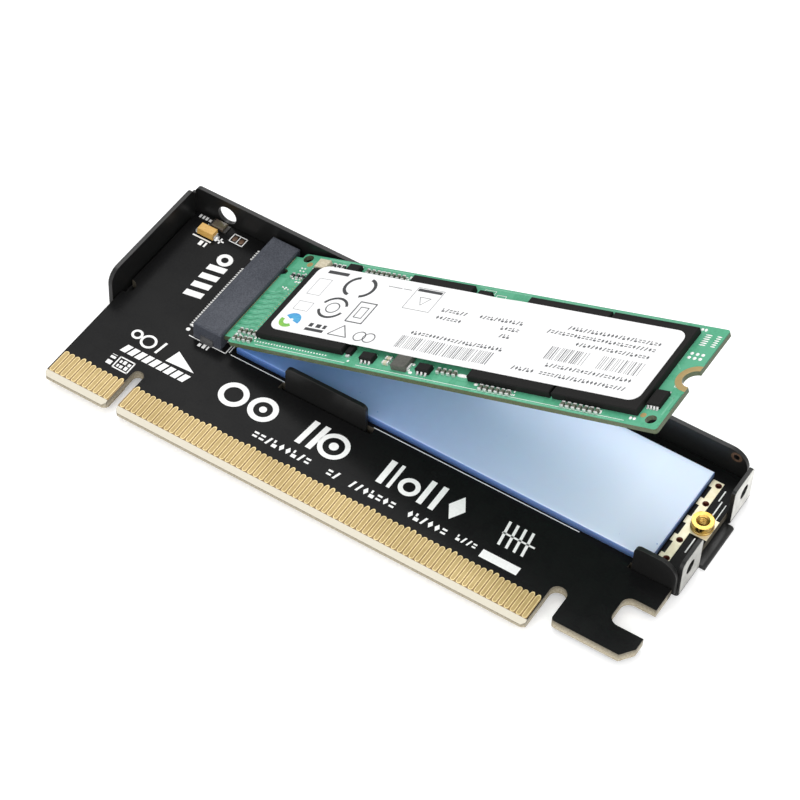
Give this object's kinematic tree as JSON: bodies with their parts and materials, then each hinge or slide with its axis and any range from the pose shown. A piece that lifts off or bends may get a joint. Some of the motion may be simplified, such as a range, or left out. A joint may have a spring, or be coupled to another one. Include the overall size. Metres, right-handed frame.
{
  "type": "nvme adapter card",
  "caption": "Slot adapter card with a keyed edge connector, retention hook, folded tray, thermal pad and a solid-state module hinged up in its socket.",
  "frame": {"origin": "middle of the edge connector's first contact along X, the connector's front edge along Y, and the card's component side along Z", "axes": "+X along the edge connector towards the retention hook, +Y from the connector to the back wall, +Z out of the component side"},
  "size_m": [0.1017, 0.0419, 0.0321],
  "materials": {
    "card_solder_mask": "glossy solder mask over glass-fibre board",
    "gold_plating": "hard gold plate",
    "strip_plating": "bright gold plate",
    "brass": "turned",
    "socket_plastic": "moulded, fine grain",
    "tin_plating": "bright tin",
    "pad_silicone": "smooth, slightly waxy",
    "tray_paint": "black, satin",
    "film_plastic": "thin film",
    "tantalum_epoxy": "moulded epoxy",
    "light_resin": "clear resin",
    "module_solder_mask": "green solder mask over glass-fibre board",
    "chip_epoxy": "moulded epoxy",
    "coil_ferrite": "ferrite",
    "pale_ceramic": "fired ceramic",
    "label_paper": "matt coated",
    "capacitor_ceramic": "fired ceramic",
    "resistor_ceramic": "glazed"
  },
  "bodies": {
    "card": {"main_board": "card_solder_mask", "edge_contacts_top": "gold_plating", "edge_contacts_bottom": "gold_plating", "ground_strip": "strip_plating", "standoff": "brass", "socket_housing": "socket_plastic", "socket_upper_contacts": "tin_plating", "socket_lower_contacts": "tin_plating", "socket_solder_tabs": "tin_plating", "thermal_pad": "pad_silicone", "tray": "tray_paint", "insulating_film": "film_plastic", "bulk_capacitor": "tantalum_epoxy", "capacitor_terminals": "tin_plating", "status_light_base": "film_plastic", "status_light_lens": "light_resin"},
    "ssd": {"ssd_board": "module_solder_mask", "ssd_contacts": "gold_plating", "ssd_mount_ring": "strip_plating", "ssd_controller": "chip_epoxy", "ssd_memory": "chip_epoxy", "ssd_flash_near": "chip_epoxy", "ssd_flash_far": "chip_epoxy", "ssd_first_regulator": "chip_epoxy", "ssd_second_regulator": "chip_epoxy", "ssd_driver_chip": "chip_epoxy", "ssd_config_chip": "chip_epoxy", "ssd_coil": "coil_ferrite", "ssd_pale_capacitor": "pale_ceramic", "ssd_rear_chip": "chip_epoxy", "ssd_chip_leads": "tin_plating", "ssd_label": "label_paper", "ssd_capacitors": "capacitor_ceramic", "ssd_resistors": "resistor_ceramic", "ssd_part_ends": "tin_plating"}
  },
  "joints": [
    {"name": "module_tilt", "type": "hinge", "parent": "card", "child": "ssd", "pos_m": [0.0189, 0.0296, 0.0019], "axis": [0, 1, 0], "range_deg": [0, 20.6], "stiffness_Nm_per_rad": 0.02, "springref_deg": -20.05}
  ]
}
